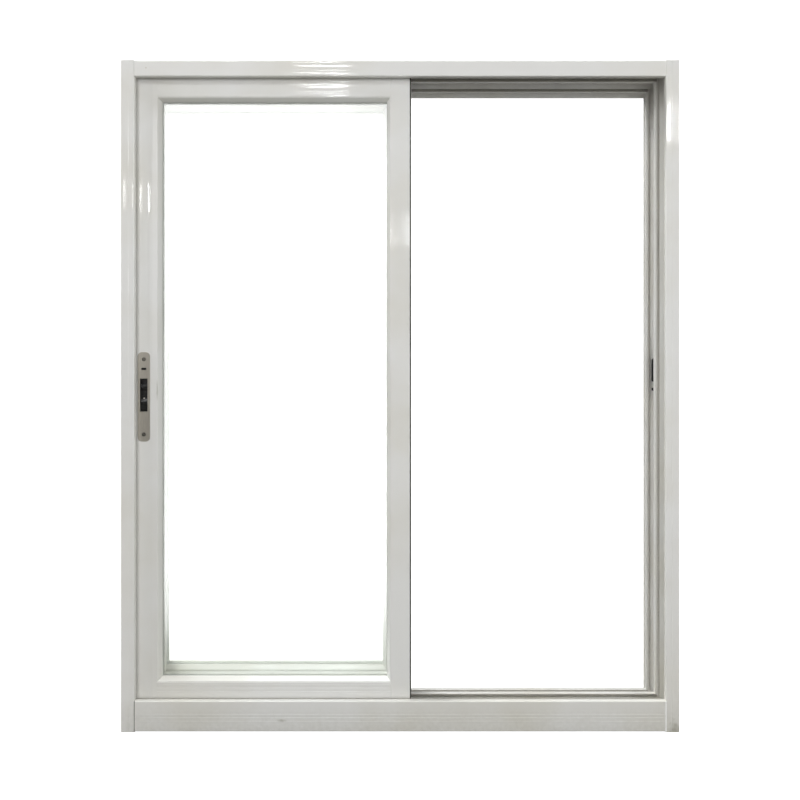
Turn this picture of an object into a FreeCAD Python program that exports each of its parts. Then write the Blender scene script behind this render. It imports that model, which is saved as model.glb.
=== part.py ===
import FreeCAD, Part
import math
import os

# Two-sash horizontal sliding window in extruded aluminium, millimetres.
# X runs along the sill, Y from the room to the outside, Z up.
# The origin is the middle of the sill's underside.

# Frame
frame_width = 1000.0
frame_height = 1204.0
frame_wall = 2.0
tip_round = 0.9
front_tip_round = 1.8
face_step = 2.0
face_step_depth = 3.0

# Tracks, counted from the room side
front_leg_thick = 9.0
rear_leg_thick = 3.0
screen_track = 24.0
run_gap = 5.0
sash_depth = 32.0
hook_thick = 1.5
plate_proud = 0.5

# Height of each leg above the frame's outer face: front, middle, inner rear, outer rear
jamb_legs = (24.0, 27.0, 27.0, 21.5)
head_legs = (29.0, 20.5, 21.0, 22.0)
sill_legs = (56.0, 45.5, 29.0, 17.0)
jamb_floor = 8.0

# Roller rails, drains and fixings
rail_width = 3.0
rail_height = 26.0
drain_length = 30.0
drain_height = 5.0
drain_spacing = 380.0
fixing_radius = 3.0
fixing_count = 3
fixing_from_end = 152.0

# Extrusion lines, as heights on the faces of the sill, the bottom rail and the jambs
sill_lines = (33.0, 26.8, 20.5)
rail_lines = (58.4, 51.4, 45.0)
jamb_lines = (13.5,)
line_depth = 0.4
line_half_width = 0.5
jamb_line_half_width = 0.9

# Pile seals
seal_width = 5.0
seal_tip_width = 3.4
seal_clearance = 0.3

# Sashes
meeting_lap = 38.0
head_gap = 9.5
skirt_drop = 4.0
lock_stile_face = 46.0
meeting_stile_face = 36.0
top_rail_face = 49.1
bottom_rail_face = 61.5
sash_wall = 2.0
sash_edge_round = 0.8
meeting_edge_round = 3.0
facet_width = 7.0
facet_drop = 0.5
skirt_thick = 2.5
roller_channel = 26.0

# Glazing
bead_width = 7.0
bead_set_back = 0.5
bead_nose = 1.4
bead_wall = 1.3
bead_toe = 2.8
bead_depth = 11.0
gasket_thick = 1.5
gasket_proud = 0.8
glass_thick = 6.0
glass_bite = 5.5

# Interlock hooks
hook_inset = 18.0
hook_lip = 12.5
hook_end_gap = 0.5

# Rollers
roller_from_end = 86.0
roller_radius = 10.0
roller_width = 8.0
roller_running = 0.3
axle_radius = 2.0
axle_running = 0.05
housing_length = 38.0
housing_thick = 1.5
housing_side_gap = 0.5
housing_lower_edge = 30.0
housing_wing = 24.0

# Flush lock
lock_height = 600.0
plate_length = 161.6
plate_width = 22.8
plate_thick = 1.5
plate_corner = 8.0
plate_screw_offset = 68.0
plate_screw_radius = 2.1
slot_offset = 50.6
slot_length = 9.2
slot_height = 4.2
mouth_offset = 3.2
mouth_height = 60.0
mouth_width = 13.6
case_width = 17.0
case_depth = 16.0
case_height = 124.0
case_offset = 22.0
cup_floor = 10.0
boss_wall = 1.5
boss_clearance = 0.2

# Thumb slide in the lock
thumb_travel = 10.0
thumb_end_gap = 1.0
thumb_side_gap = 0.5
thumb_waist_height = 14.0
thumb_waist_radius = 3.0
thumb_waist_bite = 1.3

# Keepers on the jambs
keeper_height = 638.0
tongue_height = 62.0
tongue_thick = 4.0
tongue_reach = 15.0
tongue_notch = 6.0
keeper_base_height = 96.0
keeper_base_width = 22.0
keeper_corner = 4.0

# Places worked out from the sizes
track = sash_depth + 2 * run_gap
sash_gap = 3 * run_gap + 2 * hook_thick + plate_proud
middle_leg_thick = sash_gap - 2 * run_gap
middle_leg = front_leg_thick + track
inner_leg = middle_leg + middle_leg_thick + track
outer_leg = inner_leg + middle_leg_thick + screen_track
frame_depth = outer_leg + rear_leg_thick
leg_places = (0.0, middle_leg, inner_leg, outer_leg)
leg_thicks = (front_leg_thick, middle_leg_thick, middle_leg_thick, rear_leg_thick)

front_sash_depth = front_leg_thick + run_gap
rear_sash_depth = middle_leg + middle_leg_thick + run_gap
half_inside = frame_width / 2 - jamb_floor
sash_width = half_inside - run_gap + meeting_lap / 2
sash_bottom = rail_height - skirt_drop
sash_top = frame_height - frame_wall - head_gap
sash_height = sash_top - sash_bottom
front_sash_edge = -half_inside + run_gap
hook_stop = frame_width / 2 - jamb_legs[1] - run_gap
rear_sash_edge = -hook_stop - hook_inset + sash_width

glass_front = bead_set_back + bead_depth + gasket_thick
lip_front = glass_front + glass_thick + gasket_thick
pane_low = (lock_stile_face, bottom_rail_face)
pane_high = (sash_width - meeting_stile_face, sash_height - top_rail_face)
thumb_height = mouth_height - thumb_travel - 2 * thumb_end_gap


def vec(x, y, z=0.0):
    return FreeCAD.Vector(x, y, z)


def rounded(corners):
    """Closed wire through (x, y) or (x, y, radius) corners, each radius made an arc."""
    starts = []
    ends = []
    arcs = []
    for index, corner in enumerate(corners):
        here = vec(corner[0], corner[1])
        radius = corner[2] if len(corner) > 2 else 0.0
        if radius <= 0:
            starts.append(here)
            ends.append(here)
            arcs.append(None)
            continue
        before = corners[index - 1]
        after = corners[(index + 1) % len(corners)]
        back = (vec(before[0], before[1]) - here).normalize()
        onward = (vec(after[0], after[1]) - here).normalize()
        half_angle = back.getAngle(onward) / 2
        reach = radius / math.tan(half_angle)
        start = here + back * reach
        end = here + onward * reach
        inward = (back + onward).normalize()
        middle = here + inward * (radius / math.sin(half_angle) - radius)
        starts.append(start)
        ends.append(end)
        arcs.append(Part.Arc(start, middle, end).toShape())
    edges = []
    for index in range(len(corners)):
        if arcs[index] is not None:
            edges.append(arcs[index])
        start = ends[index]
        end = starts[(index + 1) % len(corners)]
        if start.distanceToPoint(end) > 1e-6:
            edges.append(Part.LineSegment(start, end).toShape())
    return Part.Wire(edges)


def face(corners):
    return Part.Face(rounded(corners))


def rectangle(x0, y0, x1, y1, radius=0.0):
    return face([(x0, y0, radius), (x1, y0, radius), (x1, y1, radius), (x0, y1, radius)])


def chamfered(x0, y0, x1, y1, corner):
    """Rectangle with straight-cut corners, for punched slots."""
    return face([(x0 + corner, y0), (x1 - corner, y0), (x1, y0 + corner), (x1, y1 - corner),
                 (x1 - corner, y1), (x0 + corner, y1), (x0, y1 - corner), (x0, y0 + corner)])


def scored(profile, heights, half_width=line_half_width):
    """Cut a fine V line into the front of a section at each height."""
    for height in heights:
        line = face([(height - half_width, -line_depth / 2), (height + half_width, -line_depth / 2),
                     (height, line_depth)])
        profile = profile.cut(line)
    return profile


def block(low, high):
    size = vec(*high) - vec(*low)
    return Part.makeBox(size.x, size.y, size.z, vec(*low))


def cut_all(shape, tools):
    for tool in tools:
        shape = shape.cut(tool)
    return shape


def along_z(profile, low, high):
    solid = profile.extrude(vec(0, 0, high - low))
    solid.translate(vec(0, 0, low))
    return solid


def along_y(profile, low, high):
    """Extrude an outline drawn in X and Z (given as x and y) through the depth."""
    solid = profile.extrude(vec(0, 0, high - low))
    solid.rotate(vec(0, 0), vec(1, 0), 90)
    solid.translate(vec(0, high, 0))
    return solid


def lying_low(solid):
    """Turn a member drawn upright so that its inner side looks up."""
    solid.rotate(vec(0, 0), vec(0, 1), -90)
    return solid


def lying_high(solid, height):
    """Turn a member drawn upright so that its inner side looks down."""
    solid.rotate(vec(0, 0), vec(0, 1), 90)
    solid.translate(vec(0, 0, height))
    return solid


def mirrored(solid):
    return solid.mirror(vec(0, 0), vec(1, 0))


def centred(solid, x=0.0, depth=0.0, z=0.0):
    """Move a piece drawn with its depth counted from the room side into the frame."""
    solid.translate(vec(x, depth - frame_depth / 2, z))
    return solid


# Frame members


def frame_section(heights, floor, step, rails=()):
    """Section of a jamb, head or sill: x is the height of each leg, y the depth."""
    teeth = list(zip(leg_places, leg_thicks, heights))
    teeth = sorted(teeth + [(place - rail_width / 2, rail_width, rail_height) for place in rails])
    corners = []
    if step:
        corners = [(0, face_step_depth), (step, face_step_depth)]
    corners.append((step, 0, tip_round if step else 0))
    for start, thick, height in teeth:
        curve = min(tip_round if start else front_tip_round, thick / 2)
        if thick == rail_width:
            curve = rail_width / 2
        if start > 0:
            corners.append((floor, start))
        corners.append((height, start, curve))
        corners.append((height, start + thick, curve))
        if start + thick < frame_depth:
            corners.append((floor, start + thick))
    corners.append((0, frame_depth))
    profile = face(corners)
    root = frame_wall + step
    for start, thick, height in zip(leg_places[:3], leg_thicks[:3], heights[:3]):
        chamber = rectangle(root, start + frame_wall, height - frame_wall, start + thick - frame_wall)
        profile = profile.cut(chamber)
    if floor > 2 * frame_wall:
        for index in range(3):
            after = leg_places[index] + leg_thicks[index]
            chamber = rectangle(frame_wall, after, floor - frame_wall, leg_places[index + 1])
            profile = profile.cut(chamber)
    return profile


def fixing_holes():
    """Screw holes spread up the screen track, through both walls of the jamb."""
    depth = inner_leg + middle_leg_thick + screen_track / 2
    spacing = (frame_height - 2 * fixing_from_end) / (fixing_count - 1)
    holes = []
    for index in range(fixing_count):
        z = fixing_from_end + index * spacing
        holes.append(Part.makeCylinder(fixing_radius, jamb_floor, vec(0, depth, z), vec(1, 0, 0)))
    return holes


def head_seats():
    """Cuts that shorten the jamb's inner legs, so that the head's legs run over them."""
    tools = []
    for index in range(1, len(leg_places)):
        start = leg_places[index]
        low = (jamb_floor, start, frame_height - head_legs[index])
        high = (jamb_legs[index] + 1, start + leg_thicks[index], frame_height + 1)
        tools.append(block(low, high))
    return tools


def jamb(keeper_depth):
    """Left jamb, with holes for its fixings and a pocket for its keeper."""
    section = scored(frame_section(jamb_legs, jamb_floor, 0), jamb_lines, jamb_line_half_width)
    solid = along_z(section, 0, frame_height)
    pocket = keeper_base()
    pocket.translate(vec(0, keeper_depth, keeper_height))
    return cut_all(solid, head_seats() + fixing_holes() + [pocket])


def between_jambs(solid, leg_count):
    """Cut the ends of the head or sill round the first few legs of both jambs."""
    legs = list(zip(leg_places, leg_thicks, jamb_legs))
    for start, thick, height in legs[:leg_count]:
        tip = frame_width / 2 - height
        for side in (-1, 1):
            near, far = sorted((side * tip, side * frame_width))
            low = (near, start, -1)
            high = (far, start + thick, frame_height + 1)
            solid = solid.cut(block(low, high))
    return solid


def drains():
    """Slots that let water run from track to track and out at the back of the sill."""
    tools = []
    for leg, count in ((1, 2), (2, 3), (3, 2)):
        start = leg_places[leg]
        thick = leg_thicks[leg]
        for index in range(count):
            x = (index - (count - 1) / 2) * drain_spacing
            outline = chamfered(x - drain_length / 2, frame_wall,
                                x + drain_length / 2, frame_wall + drain_height, drain_height / 3)
            tools.append(along_y(outline, start - 1, start + thick + 1))
    return tools


def head():
    solid = along_z(frame_section(head_legs, frame_wall, face_step), -half_inside, half_inside)
    return between_jambs(lying_high(solid, frame_height), 1)


def sill():
    rails = (front_sash_depth + sash_depth / 2, rear_sash_depth + sash_depth / 2)
    section = scored(frame_section(sill_legs, frame_wall, face_step, rails), sill_lines)
    solid = along_z(section, -half_inside, half_inside)
    return cut_all(between_jambs(lying_low(solid), len(jamb_legs)), drains())


# Keepers


def keeper_base():
    """Base plate, sunk flush in the floor of the jamb's track."""
    half_width = keeper_base_width / 2
    half_height = keeper_base_height / 2
    plate = along_z(rectangle(-half_width, -half_height, half_width, half_height, keeper_corner),
                    0, frame_wall)
    plate.rotate(vec(0, 0), vec(1, 0), 90)
    plate.rotate(vec(0, 0), vec(0, 0, 1), 90)
    plate.translate(vec(jamb_floor - frame_wall, 0, 0))
    return plate


def keeper(depth):
    """Base plate with a hooked tongue that stands into the lock stile's slot."""
    low = -tongue_height / 2
    high = tongue_height / 2
    root = jamb_floor - frame_wall / 2
    tip = jamb_floor + tongue_reach
    outline = face([
        (root, low), (tip, low, 3), (tip, low + tongue_notch, 1),
        (tip - tongue_notch, low + tongue_notch, 2), (tip - tongue_notch, low + 3 * tongue_notch, 2),
        (tip, low + 3 * tongue_notch, 1), (tip, high, 4), (root, high)])
    tongue = along_y(outline, -tongue_thick / 2, tongue_thick / 2)
    solid = keeper_base().fuse(tongue).removeSplitter()
    return centred(solid, -frame_width / 2, depth, keeper_height)


# Pile seals


def seal_strip(length):
    """Pile strip drawn upright, its back at y = 0 and its brush towards +y."""
    thick = run_gap - seal_clearance
    taper = (seal_width - seal_tip_width) / 2
    profile = face([(0, 0), (seal_width, 0), (seal_width - taper, thick), (taper, thick)])
    return along_z(profile, 0, length)


def seal_rows():
    """Which side of which leg carries a strip: leg number, depth of its back, direction."""
    rows = []
    for leg, side in ((0, 1), (1, -1), (1, 1), (2, -1)):
        back = leg_places[leg] + (leg_thicks[leg] if side > 0 else 0)
        rows.append((leg, back, side))
    return rows


def strip_at(length, back, side):
    strip = seal_strip(length)
    if side < 0:
        strip = strip.mirror(vec(0, 0), vec(0, 1))
    strip.translate(vec(0, back, 0))
    return strip


def jamb_seals():
    strips = []
    for leg, back, side in seal_rows():
        low = sill_legs[leg] - seal_width
        high = frame_height - head_legs[leg] + seal_width
        strip = strip_at(high - low, back, side)
        strips.append(centred(strip, -frame_width / 2 + jamb_legs[0] - seal_width, 0, low))
    return Part.makeCompound(strips)


def cross_seals(heights, turn):
    half = frame_width / 2 - jamb_legs[0]
    strips = []
    for leg, back, side in seal_rows():
        strip = strip_at(2 * half, back, side)
        strip.translate(vec(heights[leg] - seal_width, 0, -half))
        strips.append(centred(turn(strip)))
    return Part.makeCompound(strips)


# Sash members, drawn with x from the lock side, y from the room face and z from the bottom


def member_section(face_width, skirt=False, edge_round=sash_edge_round, facet=False):
    """Hollow box with a rear lip for the glass; a skirt makes a roller channel in its outer side."""
    corners = [(0, 0, edge_round)]
    if facet:
        corners += [(face_width - facet_width, 0), (face_width, facet_drop)]
    else:
        corners.append((face_width, 0, sash_edge_round))
    corners += [(face_width, lip_front),
               (face_width + bead_width, lip_front, sash_edge_round),
               (face_width + bead_width, sash_depth, sash_edge_round)]
    if skirt:
        corners += [(0, sash_depth), (0, sash_depth - skirt_thick),
                    (roller_channel, sash_depth - skirt_thick), (roller_channel, skirt_thick),
                    (0, skirt_thick)]
        corners[0] = (0, 0)
    else:
        corners.append((0, sash_depth, sash_edge_round))
    low = (roller_channel if skirt else 0) + sash_wall
    profile = face(corners)
    if skirt:
        profile = scored(profile, rail_lines)
    profile = profile.cut(rectangle(low, sash_wall, face_width - sash_wall, sash_depth - sash_wall))
    lip_chamber = rectangle(face_width, lip_front + sash_wall,
                            face_width + bead_width - sash_wall, sash_depth - sash_wall)
    return profile.cut(lip_chamber)


def lip_ends():
    """Blocks that clear a stile's lip where the rails stand against the stile."""
    reach = sash_width
    low = block((lock_stile_face, -1, -1), (reach, sash_depth + 1, bottom_rail_face + bead_width))
    top = sash_height - top_rail_face - bead_width
    high = block((lock_stile_face, -1, top), (reach, sash_depth + 1, sash_height + 1))
    return [low, high]


def rail_notch(width):
    """Notch at the foot of a stile that straddles the roller rail."""
    half = rail_width / 2 + run_gap
    middle = sash_depth / 2
    outline = rectangle(middle - half, -2 * run_gap, middle + half, skirt_drop + run_gap)
    tool = along_z(outline, 0, width + bead_width + 2)
    tool.rotate(vec(0, 0), vec(1, 1, 1), 120)
    tool.translate(vec(-1, 0, 0))
    return tool


def hook(edge, lip_end, wall_start, lip_start):
    """Interlock hook: a fin standing off the stile with a lip turned along the window."""
    fin_low, fin_high = sorted((wall_start, lip_start + math.copysign(hook_thick, lip_start - wall_start)))
    lip_low, lip_high = sorted((lip_start, lip_start + math.copysign(hook_thick, lip_start - wall_start)))
    fin_left, fin_right = sorted((edge, edge + math.copysign(hook_thick, lip_end - edge)))
    lip_left, lip_right = sorted((edge, lip_end))
    fin = rectangle(fin_left, fin_low, fin_right, fin_high)
    lip = rectangle(lip_left, lip_low, lip_right, lip_high)
    low = sill_legs[1] + run_gap + hook_end_gap - sash_bottom
    high = frame_height - head_legs[1] - run_gap - hook_end_gap - sash_bottom
    return along_z(fin.fuse(lip).removeSplitter(), low, high)


def lock_stile():
    solid = along_z(member_section(lock_stile_face, facet=True), 0, sash_height)
    solid = cut_all(solid, lip_ends() + [rail_notch(lock_stile_face)])
    middle = lock_stile_face / 2
    height = lock_height - sash_bottom
    pocket = plate_outline(middle, height)
    solid = solid.cut(along_y(pocket, -1, plate_thick - plate_proud))
    window = mouth_outline(middle, height, boss_wall + boss_clearance)
    solid = solid.cut(along_y(window, -1, sash_wall + 0.5))
    half_slot = tongue_thick / 2 + run_gap
    low = keeper_height - tongue_height / 2 - run_gap - sash_bottom
    slot = block((-1, sash_depth / 2 - half_slot, low),
                 (sash_wall + 1, sash_depth / 2 + half_slot, low + tongue_height + 2 * run_gap))
    return solid.cut(slot)


def meeting_stile(with_hook):
    """Meeting stile drawn like the lock stile, then turned round to the far side."""
    section = member_section(meeting_stile_face, edge_round=meeting_edge_round)
    solid = along_z(section, 0, sash_height)
    solid = cut_all(solid, [rail_notch(meeting_stile_face)])
    solid = mirrored(solid)
    solid.translate(vec(sash_width, 0, 0))
    edge = sash_width - meeting_stile_face
    for low, high in ((-1, bottom_rail_face + bead_width),
                      (sash_height - top_rail_face - bead_width, sash_height + 1)):
        solid = solid.cut(block((edge - bead_width - 1, -1, low), (edge, sash_depth + 1, high)))
    return solid.fuse(with_hook).removeSplitter()


def bottom_rail():
    solid = along_z(member_section(bottom_rail_face, skirt=True), pane_low[0], pane_high[0])
    return mirrored(lying_low(solid))


def top_rail():
    solid = along_z(member_section(top_rail_face), pane_low[0], pane_high[0])
    return lying_high(solid, sash_height)


# Glazing


def bead_section():
    """Snap-in bead: a hollow sloped nose with its foot in the corner of the rebate."""
    front = bead_set_back
    back = bead_set_back + bead_depth
    outer = face([(0, front), (bead_nose, front, 0.6), (bead_width, back - bead_toe, 0.6),
                  (bead_width, back), (0, back)])
    inner = face([(bead_wall, front + bead_wall), (bead_nose, front + bead_wall),
                  (bead_width - bead_wall, back - bead_toe + bead_wall * 0.2),
                  (bead_width - bead_wall, back - bead_wall), (bead_wall, back - bead_wall)])
    return outer.cut(inner)


def mitre(low, high, width):
    """Prism whose ends slope at 45 degrees, for a bead that runs along x."""
    outline = face([(low, 0), (high, 0), (high - width, width), (low + width, width)])
    return along_y(outline, 0, sash_depth)


def bead(length):
    """Bead along x from 0 to the length, its foot at z = 0, with mitred ends."""
    solid = mirrored(lying_low(along_z(bead_section(), 0, length)))
    return solid.common(mitre(0, length, bead_width))


def beads():
    """The four beads of a pane, bottom, top, lock side and meeting side."""
    width = pane_high[0] - pane_low[0]
    height = pane_high[1] - pane_low[1]
    bottom = bead(width)
    bottom.translate(vec(pane_low[0], 0, pane_low[1]))
    top = bead(width).mirror(vec(0, 0), vec(0, 0, 1))
    top.translate(vec(pane_low[0], 0, pane_high[1]))
    meeting = bead(height)
    meeting.rotate(vec(0, 0), vec(0, 1), -90)
    meeting.translate(vec(pane_high[0], 0, pane_low[1]))
    lock = bead(height)
    lock.rotate(vec(0, 0), vec(0, 1), -90)
    lock = mirrored(lock)
    lock.translate(vec(pane_low[0], 0, pane_low[1]))
    return {"bottom_bead": bottom, "top_bead": top, "lock_bead": lock, "meeting_bead": meeting}


def ring(low_inset, high_inset, start, thick):
    """Flat frame round the pane opening, between two insets from the rebate."""
    outer = rectangle(pane_low[0] + low_inset, pane_low[1] + low_inset,
                      pane_high[0] - low_inset, pane_high[1] - low_inset)
    inner = rectangle(pane_low[0] + high_inset, pane_low[1] + high_inset,
                      pane_high[0] - high_inset, pane_high[1] - high_inset)
    return along_y(outer.cut(inner), start, start + thick)


def gasket():
    edge = bead_width - glass_bite
    front = ring(edge, bead_width + gasket_proud, glass_front - gasket_thick, gasket_thick)
    rear = ring(edge, bead_width + gasket_proud, glass_front + glass_thick, gasket_thick)
    return Part.makeCompound([front, rear])


def glass():
    edge = bead_width - glass_bite
    outline = rectangle(pane_low[0] + edge, pane_low[1] + edge, pane_high[0] - edge, pane_high[1] - edge)
    return along_y(outline, glass_front, glass_front + glass_thick)


# Rollers


def roller_places():
    return (roller_from_end, sash_width - roller_from_end)


def roller_axis_height():
    """Axle height above the sash's bottom; the groove is centred on the rail's rounded top."""
    return rail_height - rail_width / 2 + roller_radius - sash_bottom


def wheels():
    """Grooved wheels that straddle the rail, the groove's flanks at 60 degrees round its top."""
    half = roller_width / 2
    clear = rail_width / 2 + roller_running
    floor = clear * math.tan(math.radians(30))
    mouth = clear / math.cos(math.radians(30))
    bore = axle_radius + axle_running
    points = [(bore, -half), (roller_radius, -half), (roller_radius, -mouth),
              (roller_radius - clear, -floor), (roller_radius - clear, floor), (roller_radius, mouth),
              (roller_radius, half), (bore, half)]
    wheel = face(points).revolve(vec(0, 0), vec(0, 1), 360)
    copies = []
    for x in roller_places():
        copy = wheel.copy()
        copy.translate(vec(x, sash_depth / 2, roller_axis_height()))
        copies.append(copy)
    return Part.makeCompound(copies)


def housing():
    """Bracket under the channel's roof, with two cheeks that hold the axle."""
    half = housing_length / 2
    inner = roller_width / 2 + housing_side_gap
    outer = inner + housing_thick
    roof = roller_channel
    low = housing_lower_edge - sash_bottom
    top = along_z(rectangle(-half, -housing_wing / 2, half, housing_wing / 2), roof - housing_thick, roof)
    outline = face([(-half / 3, low), (half / 3, low), (half / 2, low + 2 * axle_radius),
                    (half, roof - housing_thick / 2), (-half, roof - housing_thick / 2),
                    (-half / 2, low + 2 * axle_radius)])
    solid = top
    for side in (-1, 1):
        near, far = sorted((side * inner, side * outer))
        solid = solid.fuse(along_y(outline, near, far))
    axle = Part.makeCylinder(axle_radius, 2 * outer, vec(0, -outer, roller_axis_height()), vec(0, 1, 0))
    return solid.fuse(axle).removeSplitter()


def housings():
    copies = []
    for x in roller_places():
        copy = housing()
        copy.translate(vec(x, sash_depth / 2, 0))
        copies.append(copy)
    return Part.makeCompound(copies)


# Flush lock


def plate_outline(middle, height):
    half_width = plate_width / 2
    half_length = plate_length / 2
    return rectangle(middle - half_width, height - half_length,
                     middle + half_width, height + half_length, plate_corner)


def mouth_outline(middle, height, margin=0.0):
    half_width = mouth_width / 2 + margin
    half_height = mouth_height / 2 + margin
    centre = height + mouth_offset
    return rectangle(middle - half_width, centre - half_height,
                     middle + half_width, centre + half_height)


def lock_plate(middle, height):
    """Steel plate with its mouth, its release slot and two countersunk screw holes."""
    solid = along_y(plate_outline(middle, height), -plate_proud, plate_thick - plate_proud)
    rim = [edge for edge in solid.Edges if edge.BoundBox.YMax < -plate_proud + 0.01]
    solid = solid.makeChamfer(0.45, rim)
    tools = [along_y(mouth_outline(middle, height), -plate_proud - 1, plate_thick + 1)]
    slot = rectangle(middle - slot_length / 2, height + slot_offset - slot_height / 2,
                     middle + slot_length / 2, height + slot_offset + slot_height / 2)
    tools.append(along_y(slot, -plate_proud - 1, plate_thick + 1))
    for side in (-1, 1):
        place = vec(middle, -plate_proud, height + side * plate_screw_offset)
        sink = Part.makeCone(2 * plate_screw_radius, plate_screw_radius, plate_thick, place, vec(0, 1, 0))
        tools.append(sink)
    return cut_all(solid, tools)


def lock_case(middle, height):
    """Lock case behind the plate, with the cup that the thumb slides in."""
    half = case_width / 2
    low = height + case_offset - case_height / 2
    high = height + case_offset + case_height / 2
    outline = rectangle(middle - half, low, middle + half, high)
    solid = along_y(outline, sash_wall, case_depth)
    boss = along_y(mouth_outline(middle, height, boss_wall), plate_thick - plate_proud, sash_wall + 1)
    cup = along_y(mouth_outline(middle, height), -1, cup_floor)
    return solid.fuse(boss).cut(cup).removeSplitter()


def thumb(middle, height):
    """Thumb slide: a block with a finger scoop between two ridges and a pinched waist."""
    back = cup_floor - thumb_side_gap
    top = thumb_height
    waist = thumb_waist_height
    outline = face([
        (back, 0, 1), (back, top, 1), (1.0, top, 1.2), (0.6, top - 4.5, 0.8), (4.2, top - 11, 3),
        (4.2, waist + 8, 3), (1.6, waist + 3, 0.8), (1.6, waist, 1), (3.0, waist - 3, 1), (3.4, 0, 1)])
    half = mouth_width / 2 - thumb_side_gap
    solid = outline.extrude(vec(0, 0, 2 * half))
    solid.rotate(vec(0, 0), vec(1, 1, 1), 120)
    solid.translate(vec(-half, 0, 0))
    for side in (-1, 1):
        reach = half + thumb_waist_radius - thumb_waist_bite
        notch = Part.makeCylinder(thumb_waist_radius, back + 2, vec(side * reach, -1, waist), vec(0, 1, 0))
        solid = solid.cut(notch)
    low = height + mouth_offset - mouth_height / 2 + thumb_end_gap
    solid.translate(vec(middle, 0, low))
    return solid


# Whole sashes


def sash(hook_solid):
    middle = lock_stile_face / 2
    height = lock_height - sash_bottom
    pieces = {
        "lock_stile": lock_stile(), "meeting_stile": meeting_stile(hook_solid),
        "top_rail": top_rail(), "bottom_rail": bottom_rail(),
        "glass": glass(), "gasket": gasket(),
        "roller_wheels": wheels(), "roller_housings": housings(),
        "lock_plate": lock_plate(middle, height), "lock_case": lock_case(middle, height),
        "thumb": thumb(middle, height)}
    pieces.update(beads())
    return pieces


def front_sash():
    """Front sash, its lock stile at the left, with a hook on its back edge."""
    lip = sash_depth + 2 * run_gap + hook_thick
    shape = hook(sash_width, sash_width - hook_lip, sash_depth, lip)
    pieces = {}
    for name, solid in sash(shape).items():
        pieces["front_" + name] = centred(solid, front_sash_edge, front_sash_depth, sash_bottom)
    return pieces


def rear_sash():
    """Rear sash, mirrored, pushed open behind the front one, with a hook on its front face."""
    lip = -(sash_gap - run_gap - hook_thick)
    edge = sash_width - hook_inset
    shape = hook(edge, edge - hook_lip, 0, lip)
    pieces = {}
    for name, solid in sash(shape).items():
        pieces["rear_" + name] = centred(mirrored(solid), rear_sash_edge, rear_sash_depth, sash_bottom)
    return pieces


def frame():
    front_middle = front_sash_depth + sash_depth / 2
    rear_middle = rear_sash_depth + sash_depth / 2
    half = -frame_width / 2
    return {
        "left_jamb": centred(jamb(front_middle), half),
        "right_jamb": mirrored(centred(jamb(rear_middle), half)),
        "head": centred(head()), "sill": centred(sill()),
        "left_keeper": keeper(front_middle), "right_keeper": mirrored(keeper(rear_middle)),
        "left_seals": jamb_seals(), "right_seals": mirrored(jamb_seals()),
        "head_seals": cross_seals(head_legs, lambda strip: lying_high(strip, frame_height)),
        "sill_seals": cross_seals(sill_legs, lying_low)}


def window():
    nodes = frame()
    nodes.update(front_sash())
    nodes.update(rear_sash())
    return nodes


os.makedirs("parts", exist_ok=True)
for node_name, node_shape in window().items():
    node_shape.exportStep("parts/" + node_name + ".step")
    print(node_name, len(node_shape.Solids), node_shape.isValid(), round(node_shape.Volume / 1000, 1), "cm3")
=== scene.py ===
# %% [markdown]
# This notebook dresses a white aluminium sliding window. The rigid model comes from CAD and is
# never moved or resized here. What this file adds is the finish of every surface and the small
# fittings that a hand would touch: screws, brush seals, thumb ribs and hole plugs.

# %% Load the fixed frame
import math

import bmesh
import bpy
from mathutils import Matrix, Vector


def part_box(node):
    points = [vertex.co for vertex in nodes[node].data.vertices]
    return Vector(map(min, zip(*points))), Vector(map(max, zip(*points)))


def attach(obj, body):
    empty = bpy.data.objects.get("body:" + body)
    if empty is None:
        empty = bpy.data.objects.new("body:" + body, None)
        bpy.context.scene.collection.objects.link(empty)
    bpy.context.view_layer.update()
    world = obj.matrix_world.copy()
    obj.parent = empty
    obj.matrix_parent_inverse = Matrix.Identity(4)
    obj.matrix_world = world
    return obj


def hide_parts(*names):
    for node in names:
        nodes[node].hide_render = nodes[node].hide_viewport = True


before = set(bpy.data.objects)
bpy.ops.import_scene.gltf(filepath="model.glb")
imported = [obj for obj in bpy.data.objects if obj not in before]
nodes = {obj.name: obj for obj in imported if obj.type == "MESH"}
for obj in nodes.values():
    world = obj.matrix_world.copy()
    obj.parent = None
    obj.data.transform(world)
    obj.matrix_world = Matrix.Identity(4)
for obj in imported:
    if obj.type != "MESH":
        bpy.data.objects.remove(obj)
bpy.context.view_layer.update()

# %% [markdown]
# The photograph is square-on, from about the height of the lock. The vanishing point lies below
# the middle of the picture, so the camera looks level and its lens is shifted instead of tilted.
# That keeps the jambs upright, as in the picture.

# %% Camera
CAMERA_PLACE = (0.0205, -1.3665, 0.6833)
CAMERA_LENS = 32.63
CAMERA_SHIFT = (-0.0145, -0.0615)

camera_data = bpy.data.cameras.new("camera")
camera_data.lens = CAMERA_LENS
camera_data.sensor_width = 36
camera_data.shift_x, camera_data.shift_y = CAMERA_SHIFT
camera = bpy.data.objects.new("camera", camera_data)
camera.location = CAMERA_PLACE
camera.rotation_euler = (math.radians(90), 0, 0)
bpy.context.scene.collection.objects.link(camera)
bpy.context.scene.camera = camera
print("camera looks along", (camera.rotation_euler.to_matrix() @ Vector((0, 0, -1)))[:])

# %% [markdown]
# Materials come first, because every CAD piece that stays needs one. Two helpers keep them short:
# one turns an sRGB hex colour, as a paint chart gives it, into the linear values that Blender
# works in, and one adds a node with its settings and links.

# %% Material helpers
MM = 0.001


def colour(hex_code):
    """Linear RGBA of an sRGB hex colour."""
    parts = [int(hex_code[i:i + 2], 16) / 255 for i in (1, 3, 5)]
    linear = [c / 12.92 if c <= 0.04045 else ((c + 0.055) / 1.055) ** 2.4 for c in parts]
    return (*linear, 1.0)


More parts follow.
